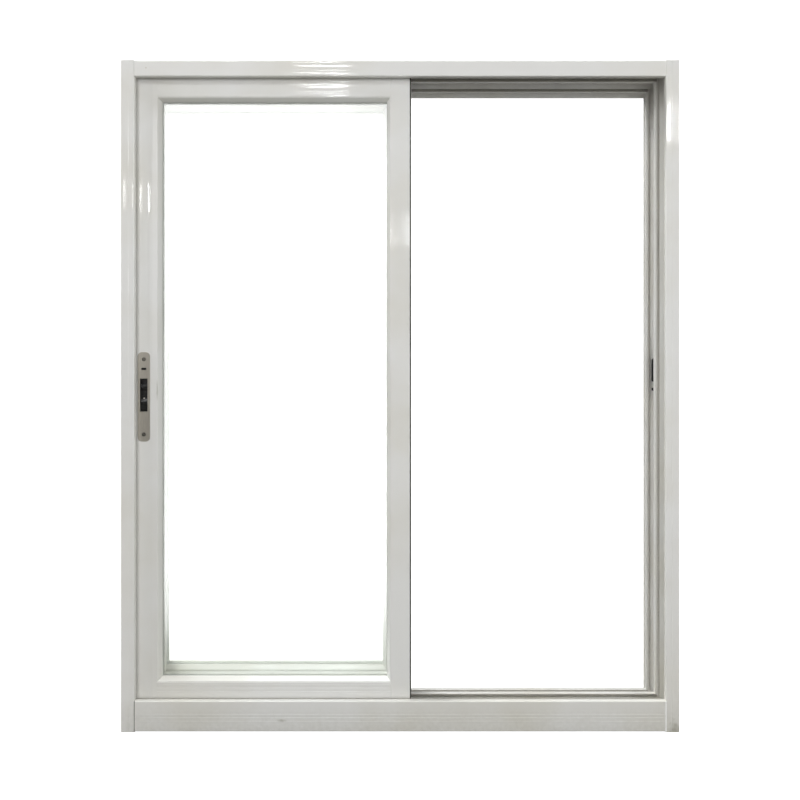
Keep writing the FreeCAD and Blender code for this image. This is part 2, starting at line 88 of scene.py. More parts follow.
def add(tree, kind, settings=(), links=()):
    """Add a node, set its properties or input values by name, and link its inputs."""
    node = tree.nodes.new(kind)
    for name, value in dict(settings).items():
        if isinstance(name, str) and hasattr(node, name):
            setattr(node, name, value)
        else:
            node.inputs[name].default_value = value
    for name, socket in dict(links).items():
        tree.links.new(socket, node.inputs[name])
    return node


def new_material(name):
    material = bpy.data.materials.new(name)
    material.use_nodes = True
    material.node_tree.nodes.clear()
    return material, material.node_tree


def close(tree, surface):
    """Send a shader to the material's output."""
    add(tree, "ShaderNodeOutputMaterial", links={"Surface": surface})


# %% [markdown]
# The frame and sashes are extruded aluminium with a white polyester powder coat. The powder melts
# into a smooth film with a very soft orange peel, a few millimetres across, and the extrusion
# die leaves faint straight lines under it. So the lines run along each member: up the stiles and
# jambs, and across the rails, head and sill. A function makes the finish once for each direction.
# The die also leaves long shallow waves, and the clear skin of the coat mirrors a bare bulb only
# along their crests, as thin streaks. They are drawn a little coarser than real ones.
# The coat also yellows unevenly, and handling leaves it slightly duller in places.

# %% Powder-coated aluminium
WHITE_COAT = "#EDEDEA"
WHITE_COAT_AGED = "#E3E1D8"
COAT_ROUGHNESS = 0.38
FILM_ROUGHNESS = 0.05
PEEL_SIZE = 2.5 * MM
DIE_LINE_PITCH = 2.2 * MM
WAVE_PITCH = 7 * MM
WAVE_LENGTH = 160 * MM
TONE_PATCH = 160 * MM
HAND_MARK = 45 * MM
# Darker olive tone mixed into the coat towards the ground and in the marks.
DARK_OLIVE = "#8F8C78"
DARKENING_HEIGHT = 60 * MM
CLUMP_SIZE = 7 * MM
# Middle and reach in metres, and how strong the mark is: a darker patch at the foot of the right
# jamb, a smear on the sill, and a scuff beside the lock.
MARKS = (((0.492, -0.062, 0.002), (0.017, 0.050, 0.026), 0.6),
         ((-0.212, -0.0685, 0.021), (0.013, 0.006, 0.004), 0.5),
         ((-0.440, -0.0545, 0.612), (0.0016, 0.004, 0.024), 0.45))


def mark_factor(tree, place, clumps, middle, reach, strength):
    """How much of one mark shows at a point: full in the middle of an ellipsoid, none outside it."""
    inside = add(tree, "ShaderNodeMapping",
                 {"Location": [-m / r for m, r in zip(middle, reach)], "Scale": [1 / r for r in reach]},
                 {"Vector": place})
    far = add(tree, "ShaderNodeVectorMath", {"operation": "LENGTH"}, {0: inside.outputs[0]})
    ragged = add(tree, "ShaderNodeMath", {"operation": "ADD"}, {0: far.outputs["Value"], 1: clumps})
    return add(tree, "ShaderNodeMapRange", {"From Min": 1.5, "From Max": 0.7, "To Max": strength},
               {"Value": ragged.outputs[0]}).outputs[0]


def darkening_factor(tree, place):
    """A darker olive tone in clumps towards the ground, and the marks."""
    clumps = add(tree, "ShaderNodeTexNoise", {"Scale": 1 / CLUMP_SIZE, "Detail": 4}, {"Vector": place})
    height = add(tree, "ShaderNodeSeparateXYZ", links={0: place}).outputs["Z"]
    low = add(tree, "ShaderNodeMapRange", {"From Min": DARKENING_HEIGHT, "From Max": 0.0, "To Max": 0.34},
              {"Value": height})
    total = add(tree, "ShaderNodeMath", {"operation": "MULTIPLY"},
                {0: low.outputs[0], 1: clumps.outputs[0]}).outputs[0]
    for middle, reach, strength in MARKS:
        mark = mark_factor(tree, place, clumps.outputs[0], middle, reach, strength)
        total = add(tree, "ShaderNodeMath", {"operation": "MAXIMUM"}, {0: total, 1: mark}).outputs[0]
    return total


def powder_coat(name, along, tone=WHITE_COAT):
    """White powder coat whose die lines run along one axis, given as its letter."""
    material, tree = new_material(name)
    place = add(tree, "ShaderNodeTexCoord").outputs["Object"]
    patches = add(tree, "ShaderNodeTexNoise", {"Scale": 1 / TONE_PATCH, "Detail": 3}, {"Vector": place})
    spread = add(tree, "ShaderNodeMapRange", {"From Min": 0.42, "From Max": 0.75}, {"Value": patches.outputs[0]})
    clean = add(tree, "ShaderNodeMix", {"data_type": "RGBA", 6: colour(tone), 7: colour(WHITE_COAT_AGED)},
                {0: spread.outputs[0]})
    base = add(tree, "ShaderNodeMix", {"data_type": "RGBA", 7: colour(DARK_OLIVE)},
               {0: darkening_factor(tree, place), 6: clean.outputs[2]})
    marks = add(tree, "ShaderNodeTexNoise", {"Scale": 1 / HAND_MARK, "Detail": 5}, {"Vector": place})
    rough = add(tree, "ShaderNodeMapRange",
                {"From Min": 0.35, "From Max": 0.7, "To Min": COAT_ROUGHNESS - 0.06, "To Max": COAT_ROUGHNESS + 0.08},
                {"Value": marks.outputs[0]})
    stretch = [1.0 / DIE_LINE_PITCH] * 3
    stretch["XYZ".index(along)] = 0.4
    lined = add(tree, "ShaderNodeMapping", {"Scale": stretch}, {"Vector": place})
    lines = add(tree, "ShaderNodeTexNoise", {"Scale": 1.0, "Detail": 2}, {"Vector": lined.outputs[0]})
    peel = add(tree, "ShaderNodeTexNoise", {"Scale": 1 / PEEL_SIZE, "Detail": 1}, {"Vector": place})
    die = add(tree, "ShaderNodeBump", {"Strength": 0.5, "Distance": 0.08 * MM}, {"Height": lines.outputs[0]})
    film = add(tree, "ShaderNodeBump", {"Strength": 0.15, "Distance": 0.06 * MM},
               {"Height": peel.outputs[0], "Normal": die.outputs[0]})
    stretch = [1 / WAVE_PITCH] * 3
    stretch["XYZ".index(along)] = 1 / WAVE_LENGTH
    wavy = add(tree, "ShaderNodeMapping", {"Scale": stretch}, {"Vector": place})
    waves = add(tree, "ShaderNodeTexNoise", {"Scale": 1.0, "Detail": 0}, {"Vector": wavy.outputs[0]})
    streaks = add(tree, "ShaderNodeBump", {"Strength": 1.0, "Distance": 0.3 * MM},
                  {"Height": waves.outputs[0]})
    coat = add(tree, "ShaderNodeBsdfPrincipled",
               {"IOR": 1.5, "Coat Weight": 0.7, "Coat Roughness": FILM_ROUGHNESS, "Coat IOR": 1.5},
               {"Base Color": base.outputs[2], "Roughness": rough.outputs[0], "Normal": film.outputs[0],
                "Coat Normal": streaks.outputs[0]})
    close(tree, coat.outputs[0])
    return material


upright_coat = powder_coat("polyester powder coat on upright extrusions", "Z")
level_coat = powder_coat("polyester powder coat on level extrusions", "X")
print("coats", upright_coat.name, level_coat.name)

# %% [markdown]
# The panes are clear float glass. A slab of Principled glass alone would block the lamps, because
# a renderer can't send plain shadow rays through a refracting surface. So only rays from the eye,
# and rays already inside the glass, meet real glass. Light on its way to a surface meets a clear
# sheet with the faint green loss of float glass, which also keeps it from being counted twice.

# %% Float glass
GLASS_GREEN = "#FCFEFC"

glass, tree = new_material("clear float glass")
pane = add(tree, "ShaderNodeBsdfPrincipled",
           {"Base Color": colour(GLASS_GREEN), "Roughness": 0.0, "IOR": 1.52, "Transmission Weight": 1.0})
clear = add(tree, "ShaderNodeBsdfTransparent", {"Color": colour(GLASS_GREEN)})
path = add(tree, "ShaderNodeLightPath")
looking = add(tree, "ShaderNodeMath", {"operation": "MAXIMUM"},
              {0: path.outputs["Is Camera Ray"], 1: path.outputs["Is Transmission Ray"]})
lighting = add(tree, "ShaderNodeMath", {"operation": "SUBTRACT", 0: 1.0}, {1: looking.outputs[0]})
either = add(tree, "ShaderNodeMixShader", links={
    0: lighting.outputs[0], 1: pane.outputs[0], 2: clear.outputs[0]})
close(tree, either.outputs[0])
print("glass made")

# %% [markdown]
# The rubber, plastic, zinc and steel fittings follow. Each is small, so each gets one texture that
# its making gives it: brushed grain on the steel plate, moulding haze on the black plastic, a
# crystalline bloom on the zinc, and fibres in the brush seals.

# %% Rubber, plastic and metal fittings
BRUSH_LINE_PITCH = 0.35 * MM
MOULD_GRAIN = 0.8 * MM
ZINC_BLOOM = 3.0 * MM
FIBRE_PITCH = 0.4 * MM


def grained(name, dark, light, grain, roughness, stretch=(1, 1, 1), depth=0.03 * MM, metallic=0.0, ior=1.5):
    """A finish that varies between two tones over a grain of a real size."""
    material, tree = new_material(name)
    place = add(tree, "ShaderNodeTexCoord").outputs["Object"]
    spread = add(tree, "ShaderNodeMapping", {"Scale": [s / grain for s in stretch]}, {"Vector": place})
    noise = add(tree, "ShaderNodeTexNoise", {"Scale": 1.0, "Detail": 4}, {"Vector": spread.outputs[0]})
    shade = add(tree, "ShaderNodeMapRange", {"From Min": 0.35, "From Max": 0.65}, {"Value": noise.outputs[0]})
    base = add(tree, "ShaderNodeMix", {"data_type": "RGBA", 6: colour(dark), 7: colour(light)},
               {0: shade.outputs[0]})
    sheen = add(tree, "ShaderNodeMapRange", {"To Min": roughness - 0.05, "To Max": roughness + 0.07},
                {"Value": noise.outputs[0]})
    relief = add(tree, "ShaderNodeBump", {"Strength": 0.5, "Distance": depth}, {"Height": noise.outputs[0]})
    settings = {"Metallic": metallic}
    if not metallic:
        settings["IOR"] = ior
    surface = add(tree, "ShaderNodeBsdfPrincipled", settings,
                  {"Base Color": base.outputs[2], "Roughness": sheen.outputs[0], "Normal": relief.outputs[0]})
    close(tree, surface.outputs[0])
    return material


rubber = grained("grey silicone glazing rubber", "#D2D2CE", "#DCDCD8", MOULD_GRAIN, 0.55)
pile = grained("polypropylene brush pile", "#CFCDC7", "#E3E1DB", FIBRE_PITCH, 0.85)
# A darker copy of the same pile, as painted shade for the deep tracks of the head and sill.
shaded_pile = grained("polypropylene brush pile darkened as painted shade", "#A5A29A", "#C0BDB6", FIBRE_PITCH, 0.9)
plate_steel = grained("satin stainless steel", "#B3AEA4", "#C8C3B7", BRUSH_LINE_PITCH, 0.42,
                      stretch=(1, 1, 0.02), depth=0.01 * MM, metallic=1.0)
case_zinc = grained("dark passivated zinc casting", "#2A2A29", "#3A3937", ZINC_BLOOM, 0.55)
thumb_black = grained("moulded black nylon", "#101010", "#191918", MOULD_GRAIN, 0.3)
keeper_black = grained("black electrophoretic coat", "#121211", "#1B1B1A", ZINC_BLOOM, 0.4)
wheel_nylon = grained("off-white nylon", "#CFCBC0", "#DBD8CE", MOULD_GRAIN, 0.5)
housing_steel = grained("zinc-plated pressed steel", "#9C9D9E", "#B9BABA", ZINC_BLOOM, 0.35, metallic=1.0)
screw_steel = grained("stainless screw head", "#6E6B65", "#8F8B84", ZINC_BLOOM, 0.32, metallic=1.0)
print("fittings' finishes made")

# %% Give every CAD piece its finish
UPRIGHT = ("jamb", "stile", "lock_bead", "meeting_bead")
LEVEL = ("head", "sill", "rail", "bottom_bead", "top_bead")
FINISHES = [("_glass", glass), ("_gasket", rubber), ("_seals", pile), ("_keeper", keeper_black),
            ("_lock_plate", plate_steel), ("_lock_case", case_zinc), ("_thumb", thumb_black),
            ("_wheels", wheel_nylon), ("_housings", housing_steel)]
FINISHES += [(ending, upright_coat) for ending in UPRIGHT]
FINISHES += [(ending, level_coat) for ending in LEVEL]

for name, piece in nodes.items():
    finish = next(material for ending, material in FINISHES if name.endswith(ending))
    piece.data.materials.clear()
    piece.data.materials.append(finish)
print(len(nodes), "pieces finished")

# %% [markdown]
# The small fittings come next. Each is modelled once near the origin, with its front towards +Z and
# its top towards +Y, and is then copied to its places. A copy gets a mesh of its own with the place
# written into it, so every object stays at the origin, unturned, as the CAD pieces do.

# %% Modelling helpers
FACING_ROOM = Matrix.Rotation(math.radians(90), 4, "X")
FACING_LEFT = Matrix.Rotation(math.radians(-90), 4, "Y")
FACING_RIGHT = Matrix.Rotation(math.radians(90), 4, "Y")


def at(x, y, z):
    return Matrix.Translation((x, y, z))


def start_clean():
    """Leave nothing selected, because an operator acts on all that is selected."""
    bpy.ops.object.select_all(action="DESELECT")


def select_where(piece, wanted, kind="FACE"):
    """In edit mode, select only the faces or edges that wanted() is true for."""
    bpy.ops.mesh.select_mode(type=kind)
    bpy.ops.mesh.select_all(action="DESELECT")
    mesh = bmesh.from_edit_mesh(piece.data)
    for element in (mesh.faces if kind == "FACE" else mesh.edges):
        if wanted(element):
            element.select_set(True)
    bmesh.update_edit_mesh(piece.data)


def hand_over(piece, finish, body):
    """Give a finished piece its material and the body that carries it."""
    piece.data.materials.clear()
    piece.data.materials.append(finish)
    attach(piece, body)


def apply_array(piece, count, step):
    """Repeat a piece along a step, given in metres."""
    start_clean()
    piece.select_set(True)
    bpy.context.view_layer.objects.active = piece
    array = piece.modifiers.new("repeat", "ARRAY")
    array.count = count
    array.use_relative_offset, array.use_constant_offset = False, True
    array.constant_offset_displace = step
    bpy.ops.object.modifier_apply(modifier=array.name)


def fit_copy(template, name, placing, finish, body):
    """Copy a template to its place, with its own mesh."""
    piece = bpy.data.objects.new(name, template.data.copy())
    piece.data.transform(placing)
    bpy.context.scene.collection.objects.link(piece)
    hand_over(piece, finish, body)
    return piece


# %% [markdown]
# Countersunk cross-recess screws hold each lock plate. A cone gives the head its taper. Two insets
# make a flat rim and a low dome, a bevel softens the rim, and a tapered bar cuts the recess twice,
# a quarter turn apart. A boolean is used because the recess crosses the faces of the dome.

# %% Screw heads
SCREW_TOP = 3.85 * MM
SCREW_NECK = 2.1 * MM
SCREW_DEPTH = 1.25 * MM
RECESS_LENGTH = 4.6 * MM
RECESS_WIDTH = 1.4 * MM
LOW_HEAD = 3.2 * MM
LOW_HEAD_PROUD = 0.35 * MM


def cut_recess(head, top, depth):
    """Cut a cross recess into a head whose top lies at the given height."""
    bpy.ops.mesh.primitive_cube_add(size=2 * depth, location=(0, 0, 0))
    bar = bpy.context.object
    bpy.ops.object.mode_set(mode="EDIT")
    bpy.ops.transform.resize(value=(RECESS_LENGTH / (2 * depth), RECESS_WIDTH / (2 * depth), 1))
    select_where(bar, lambda face: face.normal.z < -0.9)
    bpy.ops.transform.resize(value=(0.45, 0.6, 1))
    bpy.ops.object.mode_set(mode="OBJECT")
    bar.data.transform(at(0, 0, top))
    for _ in range(2):
        start_clean()
        head.select_set(True)
        bpy.context.view_layer.objects.active = head
        cut = head.modifiers.new("recess", "BOOLEAN")
        cut.operation, cut.object, cut.solver = "DIFFERENCE", bar, "EXACT"
        bpy.ops.object.modifier_apply(modifier=cut.name)
        bar.data.transform(Matrix.Rotation(math.radians(90), 4, "Z"))
    bpy.data.objects.remove(bar)
    bpy.ops.object.shade_smooth_by_angle(angle=math.radians(35))


def screw_head(name, low_radius, top_radius, depth, proud, recess):
    """Round head with a flat rim, a low dome and a cross recess."""
    start_clean()
    bpy.ops.mesh.primitive_cone_add(vertices=40, radius1=low_radius, radius2=top_radius, depth=depth)
    head = bpy.context.object
    head.name = name
    bpy.ops.object.mode_set(mode="EDIT")
    bpy.ops.transform.translate(value=(0, 0, proud - depth / 2))
    select_where(head, lambda edge: all(v.co.z > proud - 0.01 * MM for v in edge.verts), "EDGE")
    bpy.ops.mesh.bevel(offset=0.14 * MM, segments=2)
    select_where(head, lambda face: face.normal.z > 0.99)
    bpy.ops.mesh.inset(thickness=0.25 * MM)
    for step in range(3):
        bpy.ops.mesh.inset(thickness=0.42 * MM)
        bpy.ops.transform.translate(value=(0, 0, 0.05 * MM / (step + 1)))
    bpy.ops.object.mode_set(mode="OBJECT")
    cut_recess(head, proud + 0.1 * MM, recess)
    return head


sunk_screw = screw_head("sunk screw", SCREW_NECK, SCREW_TOP, SCREW_DEPTH, 0.0, 1.0 * MM)
low_screw = screw_head("low screw", LOW_HEAD, 0.92 * LOW_HEAD, 0.8 * MM, LOW_HEAD_PROUD, 0.4 * MM)
print("screw heads", len(sunk_screw.data.polygons), len(low_screw.data.polygons), "faces")

# %% Screws of the lock plates
PLATE_HOLE_PITCH = 136 * MM
SUNK_BELOW = 0.15 * MM

for side in ("front", "rear"):
    low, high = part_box(side + "_lock_plate")
    middle_x, middle_z = (low[0] + high[0]) / 2, (low[2] + high[2]) / 2
    for end, name in ((-0.5, "low"), (0.5, "high")):
        placing = at(middle_x, low[1] + SUNK_BELOW, middle_z + end * PLATE_HOLE_PITCH) @ FACING_ROOM
        fit_copy(sunk_screw, f"{side}_plate_screw_{name}", placing, screw_steel, side + "_sash")
    print(side, "plate", [round(v, 4) for v in (middle_x, low[1], middle_z)])

# %% [markdown]
# Low screws hold the black keepers, and screws through the outer wall of each jamb hold the head
# and the sill. They share one template: only its size and place change.

# %% Screws of the keepers and the frame's corners
KEEPER_SCREWS = (("left", -0.492, -0.0385, FACING_RIGHT), ("right", 0.492, 0.012, FACING_LEFT))
KEEPER_MIDDLE = 0.638
KEEPER_PITCH = 0.080
CORNER_SCALE = 1.25
CORNER_HEIGHTS = (("sill", 0.012), ("head", 1.192))
CORNER_DEPTHS = (-0.0640, -0.0135, 0.0375)

for side, x, y, facing in KEEPER_SCREWS:
    for end, name in ((-0.5, "low"), (0.5, "high")):
        placing = at(x, y, KEEPER_MIDDLE + end * KEEPER_PITCH) @ facing
        fit_copy(low_screw, f"{side}_keeper_screw_{name}", placing, screw_steel, "frame")

for side, x, facing in (("left", -0.5, FACING_LEFT), ("right", 0.5, FACING_RIGHT)):
    for level, z in CORNER_HEIGHTS:
        for number, y in enumerate(CORNER_DEPTHS, 1):
            placing = at(x, y, z) @ facing @ Matrix.Scale(CORNER_SCALE, 4)
            fit_copy(low_screw, f"{side}_{level}_screw_{number}", placing, screw_steel, "frame")

for template in (sunk_screw, low_screw):
    bpy.data.objects.remove(template)

# %% [markdown]
# The black thumb has four half-round ribs that a finger grips. A rib is a thin rod cut along its
# length by a bisect, with softened ends, and an array repeats it up the thumb.

# %% Thumb ribs
RIB_LENGTH = 9 * MM
RIB_RADIUS = 0.6 * MM
RIB_PITCH = 2.6 * MM
RIB_COUNT = 4
FIRST_RIB = 0.602
THUMB_FLOOR_BELOW = 4.7 * MM

start_clean()
bpy.ops.mesh.primitive_cylinder_add(vertices=20, radius=RIB_RADIUS, depth=RIB_LENGTH)
ribs = bpy.context.object
ribs.name = "thumb ribs"
bpy.ops.object.mode_set(mode="EDIT")
select_where(ribs, lambda face: abs(face.normal.z) > 0.9)
for inset in (0.12 * MM, 0.16 * MM):
    bpy.ops.mesh.inset(thickness=inset)
    for sign in (-1, 1):
        select_where(ribs, lambda face: face.normal.z * sign > 0.9 and len(face.verts) == 20)
        bpy.ops.transform.translate(value=(0, 0, sign * (0.28 * MM - inset)))
    select_where(ribs, lambda face: abs(face.normal.z) > 0.9 and len(face.verts) == 20)
bpy.ops.mesh.select_all(action="SELECT")
bpy.ops.mesh.bisect(plane_co=(0, -0.15 * MM, 0), plane_no=(0, 1, 0), use_fill=True, clear_inner=True)
bpy.ops.object.mode_set(mode="OBJECT")
ribs.data.transform(Matrix.Rotation(math.radians(90), 4, "X") @ Matrix.Rotation(math.radians(90), 4, "Y"))
bpy.ops.object.shade_smooth_by_angle(angle=math.radians(40))
apply_array(ribs, RIB_COUNT, (0, RIB_PITCH, 0))

for side, body in (("front", "front_lock_thumb"), ("rear", "rear_sash")):
    low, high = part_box(side + "_thumb")
    floor_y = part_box(side + "_lock_plate")[0][1] + THUMB_FLOOR_BELOW
    placing = at((low[0] + high[0]) / 2, floor_y, FIRST_RIB) @ FACING_ROOM
    fit_copy(ribs, side + "_thumb_ribs", placing, thumb_black, body)
bpy.data.objects.remove(ribs)
print("ribs on both thumbs,", RIB_COUNT, "each")

# %% [markdown]
# Two small white spots are added: a domed plug on the face of the head, and a white dot on the
# thumb that is a painted glint. A short cylinder gets a domed top from three insets, each lifted
# less than the last.

# %% White plug and dot
PLUG_RADIUS = 1.3 * MM
PLUG_PROUD = 0.35 * MM
PLUG_DEPTH = 0.8 * MM

start_clean()
bpy.ops.mesh.primitive_cylinder_add(vertices=24, radius=PLUG_RADIUS, depth=PLUG_DEPTH)
plug = bpy.context.object
plug.name = "plug"
bpy.ops.object.mode_set(mode="EDIT")
bpy.ops.transform.translate(value=(0, 0, PLUG_PROUD - PLUG_DEPTH / 2 - 0.12 * MM))
select_where(plug, lambda face: face.normal.z > 0.9)
for lift in (0.07, 0.035, 0.015):
    bpy.ops.mesh.inset(thickness=0.32 * MM)
    bpy.ops.transform.translate(value=(0, 0, lift * MM))
bpy.ops.object.mode_set(mode="OBJECT")
bpy.ops.object.shade_smooth_by_angle(angle=math.radians(50))

thumb_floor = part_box("front_lock_plate")[0][1] + THUMB_FLOOR_BELOW
fit_copy(plug, "head_plug", at(-0.455, -0.0685, 1.190) @ FACING_ROOM, wheel_nylon, "frame")
# The white dot on the thumb is a painted glint on the black nylon.
fit_copy(plug, "front_thumb_glint", at(-0.465, thumb_floor, 0.5973) @ FACING_ROOM @ Matrix.Scale(0.85, 4),
         wheel_nylon, "front_lock_thumb")
bpy.data.objects.remove(plug)
print("plug and dot placed")

# %% [markdown]
# Above each thumb the lock plate has a release slot, and a black slide fills it. A block gets round
# corners, and its front is inset and pushed in, so that the slot's floor is a shallow dish.

# %% Release slides
RELEASE_SIZE = (8.8 * MM, 3.9 * MM, 0.9 * MM)
RELEASE_ABOVE = 50.6 * MM
PLATE_THICK = 1.5 * MM

start_clean()
bpy.ops.mesh.primitive_cube_add(size=1)
release = bpy.context.object
release.name = "release"
bpy.ops.object.mode_set(mode="EDIT")
bpy.ops.transform.resize(value=RELEASE_SIZE)
bpy.ops.transform.translate(value=(0, 0, RELEASE_SIZE[2] / 2))
select_where(release, lambda edge: abs(edge.verts[0].co.z - edge.verts[1].co.z) > RELEASE_SIZE[2] / 2, "EDGE")
bpy.ops.mesh.bevel(offset=0.9 * MM, segments=3)
select_where(release, lambda face: face.normal.z > 0.9)
bpy.ops.mesh.inset(thickness=0.35 * MM)
bpy.ops.mesh.inset(thickness=0.25 * MM)
bpy.ops.transform.translate(value=(0, 0, -0.45 * MM))
bpy.ops.object.mode_set(mode="OBJECT")
bpy.ops.object.shade_smooth_by_angle(angle=math.radians(35))

for side in ("front", "rear"):
    low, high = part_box(side + "_lock_plate")
    middle_x, middle_z = (low[0] + high[0]) / 2, (low[2] + high[2]) / 2
    placing = at(middle_x, low[1] + PLATE_THICK, middle_z + RELEASE_ABOVE) @ FACING_ROOM
    fit_copy(release, side + "_lock_release", placing, thumb_black, side + "_sash")
bpy.data.objects.remove(release)
print("release slides placed")

# %% [markdown]
# The sill butts between the jambs. At its left end a thin dark strip is painted shadow in the
# hairline joint. At its right end a white rounded bead stands for the lit edge of the joint: its
# round top catches the lamps, and its colour, whiter than the coat, is a painted highlight. Each
# is a thin rod, flattened and cut in half along its length by a bisect.

# %% Painted shadow and highlight at the sill's joints
JOINT_HEIGHT = 56 * MM
JOINT_X = 0.476
FRONT_FACE = -0.0685
# A dark strip painted as shadow in the joint, and a white bead whose colour is a painted highlight.
joint_shadow_strip = grained("dark strip painted as joint shadow", "#55514B", "#6A665F", MOULD_GRAIN, 0.7)
white_highlight_bead = grained("white bead whitened as painted highlight", "#F8F8F5", "#FFFFFC", MOULD_GRAIN, 0.35)

for name, x, half_width, proud, finish in (("left_sill_joint", -JOINT_X, 0.55 * MM, 0.12 * MM, joint_shadow_strip),
                                           ("right_sill_joint", JOINT_X, 1.3 * MM, 0.5 * MM, white_highlight_bead)):
    start_clean()
    bpy.ops.mesh.primitive_cylinder_add(vertices=24, radius=half_width, depth=JOINT_HEIGHT)
    bead = bpy.context.object
    bead.name = name
    bpy.ops.object.mode_set(mode="EDIT")
    bpy.ops.transform.resize(value=(1, proud / half_width, 1))
    bpy.ops.mesh.bisect(plane_co=(0, 0.05 * MM, 0), plane_no=(0, 1, 0), use_fill=True, clear_outer=True)
    bpy.ops.object.mode_set(mode="OBJECT")
    bead.data.transform(at(x, FRONT_FACE, JOINT_HEIGHT / 2))
    bpy.ops.object.shade_smooth_by_angle(angle=math.radians(40))
    hand_over(bead, finish, "frame")
    print(name, [round(v * 1000, 2) for v in bead.dimensions], "mm")

# %% [markdown]
# A thin dark strip wraps the free edge of the front meeting stile, so that the edge shows as a
# dark line. It is the wall of a cylinder, cut down to part of a turn by two bisects and then given
# its thickness, so it follows the stile's round edge.

# %% Dark strip on the meeting edge
EDGE_RADIUS = 3.0 * MM
LIP_PROUD = 0.35 * MM
LIP_THICK = 0.5 * MM
LIP_WRAP = math.radians(65)
dark_edge_strip = grained("dark edge strip", "#2B2B29", "#3A3936", MOULD_GRAIN, 0.7)

low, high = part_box("front_meeting_stile")
start_clean()
bpy.ops.mesh.primitive_cylinder_add(vertices=72, radius=EDGE_RADIUS + LIP_PROUD,
                                    depth=high[2] - low[2] - 2 * MM, end_fill_type="NOTHING")
lip = bpy.context.object
lip.name = "front_meeting_lip"
bpy.ops.object.mode_set(mode="EDIT")
for beyond in ((0, 1, 0), (-math.sin(LIP_WRAP), -math.cos(LIP_WRAP), 0)):
    bpy.ops.mesh.select_all(action="SELECT")
    bpy.ops.mesh.bisect(plane_co=(0, 0, 0), plane_no=beyond, clear_outer=True)
bpy.ops.object.mode_set(mode="OBJECT")
wall_thickness = lip.modifiers.new("thickness", "SOLIDIFY")
wall_thickness.thickness, wall_thickness.offset = LIP_THICK, -1
bpy.ops.object.modifier_apply(modifier=wall_thickness.name)
lip.data.transform(at(high[0] - EDGE_RADIUS, low[1] + EDGE_RADIUS, (low[2] + high[2]) / 2))
bpy.ops.object.shade_smooth_by_angle(angle=math.radians(40))
hand_over(lip, dark_edge_strip, "front_sash")
print("lip", [round(v * 1000, 2) for v in lip.dimensions], "mm", len(lip.data.polygons), "faces")

# %% [markdown]
# Brush seals line the legs of the tracks and close the gap to each sash. The CAD has them as plain
# strips. Here a strip is a backing with three rows of tufts. One three-sided tuft is arrayed across
# the backing and then along it, and its tips are loosened a little so that they don't look combed.
# A tuft has few faces because thousands of them are needed.

# %% One brush strip
BACKING = (5.0 * MM, 0.9 * MM)
PILE_HEIGHT = 4.5 * MM
TUFT_RADII = (0.62 * MM, 0.30 * MM)
ROW_PITCH = 1.45 * MM
TUFT_PITCH = 1.5 * MM
TUFT_ROWS = 3
TIP_LOOSENESS = 0.2 * MM


def brush_strip(length):
    """Brush strip with its back on y = 0, its tufts towards +Y, and its length along +Z."""
    width, thick = BACKING
    start_clean()
    bpy.ops.mesh.primitive_cube_add(size=1)
    backing = bpy.context.object
    bpy.ops.object.mode_set(mode="EDIT")
    bpy.ops.transform.resize(value=(width, thick, length))
    select_where(backing, lambda edge: abs(edge.verts[0].co.z - edge.verts[1].co.z) > length / 2, "EDGE")
    bpy.ops.mesh.bevel(offset=0.2 * MM, segments=2)
    bpy.ops.mesh.select_all(action="SELECT")
    bpy.ops.transform.translate(value=(width / 2, thick / 2, length / 2))
    bpy.ops.object.mode_set(mode="OBJECT")

    start_clean()
    tuft_length = PILE_HEIGHT - thick + 0.1 * MM
    bpy.ops.mesh.primitive_cone_add(vertices=3, radius1=TUFT_RADII[0], radius2=TUFT_RADII[1], depth=tuft_length)
    tufts = bpy.context.object
    side = (width - (TUFT_ROWS - 1) * ROW_PITCH) / 2
    tufts.data.transform(at(side, PILE_HEIGHT - tuft_length / 2, TUFT_PITCH / 2)
                         @ Matrix.Rotation(math.radians(-90), 4, "X"))
    apply_array(tufts, TUFT_ROWS, (ROW_PITCH, 0, 0))
    apply_array(tufts, int(length / TUFT_PITCH), (0, 0, TUFT_PITCH))
    bpy.ops.object.mode_set(mode="EDIT")
    select_where(tufts, lambda face: face.normal.y > 0.9)
    bpy.ops.transform.vertex_random(offset=TIP_LOOSENESS, uniform=0.6, normal=0.0, seed=7)
    bpy.ops.object.mode_set(mode="OBJECT")
    backing.select_set(True)
    bpy.ops.object.join()
    return tufts


# %% Brush strips on every leg
TURNED = Matrix.Rotation(math.radians(180), 4, "Z")
LEVEL_STRIP = Matrix.Rotation(math.radians(-90), 4, "Y")
# Depth of the strip's back, which way its tufts point, and which of the frame's legs it is on.
BRUSH_ROWS = ((-0.0595, 1, 0), (-0.0175, -1, 1), (-0.0090, 1, 1), (0.0330, -1, 2))
SILL_LEGS = (0.0560, 0.0455, 0.0290)
HEAD_LEGS = (1.1750, 1.1835, 1.1830)
JAMB_STRIP_X = 0.476
STRIP_WIDTH = BACKING[0]

cross_strip = brush_strip(2 * JAMB_STRIP_X)
seals = {"left": [], "right": [], "head": [], "sill": []}
for y, way, leg in BRUSH_ROWS:
    low_z, high_z = SILL_LEGS[leg] - STRIP_WIDTH, HEAD_LEGS[leg] + STRIP_WIDTH
    upright_strip = brush_strip(high_z - low_z)
    turn = TURNED if way < 0 else Matrix.Identity(4)
    shift = STRIP_WIDTH if way < 0 else 0.0
    for side, x in (("left", -JAMB_STRIP_X - STRIP_WIDTH), ("right", JAMB_STRIP_X)):
        seals[side].append((upright_strip, at(x + shift, y, low_z) @ turn))
    for side, z in (("sill", low_z), ("head", high_z - STRIP_WIDTH)):
        seals[side].append((cross_strip, at(JAMB_STRIP_X, y, z + shift) @ LEVEL_STRIP @ turn))

